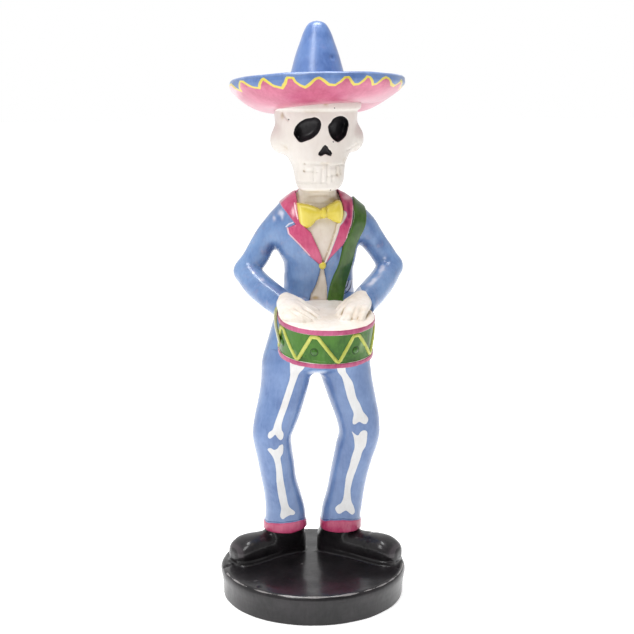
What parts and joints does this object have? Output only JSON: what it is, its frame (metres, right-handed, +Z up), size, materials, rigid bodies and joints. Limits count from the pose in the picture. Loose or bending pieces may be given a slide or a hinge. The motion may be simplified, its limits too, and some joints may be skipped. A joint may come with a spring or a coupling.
{
  "type": "skeleton drummer figurine",
  "caption": "Painted cast resin figurine of a slim skeleton drummer in a tailcoat and wide upturned hat, hands on a slung drum, standing on a round black base.",
  "frame": {"origin": "centre of the round base's underside", "axes": "+Z up the figure, -Y out of its face, +X to its own left"},
  "size_m": [0.0791, 0.0821, 0.2399],
  "materials": {
    "painted_resin": "hand-painted semi-gloss resin: blue coat, trousers and hat, pink facings, cream bone, green drum, black shoes and base"
  },
  "bodies": {
    "root": {"skeleton_drummer_figure": "painted_resin"}
  },
  "joints": []
}
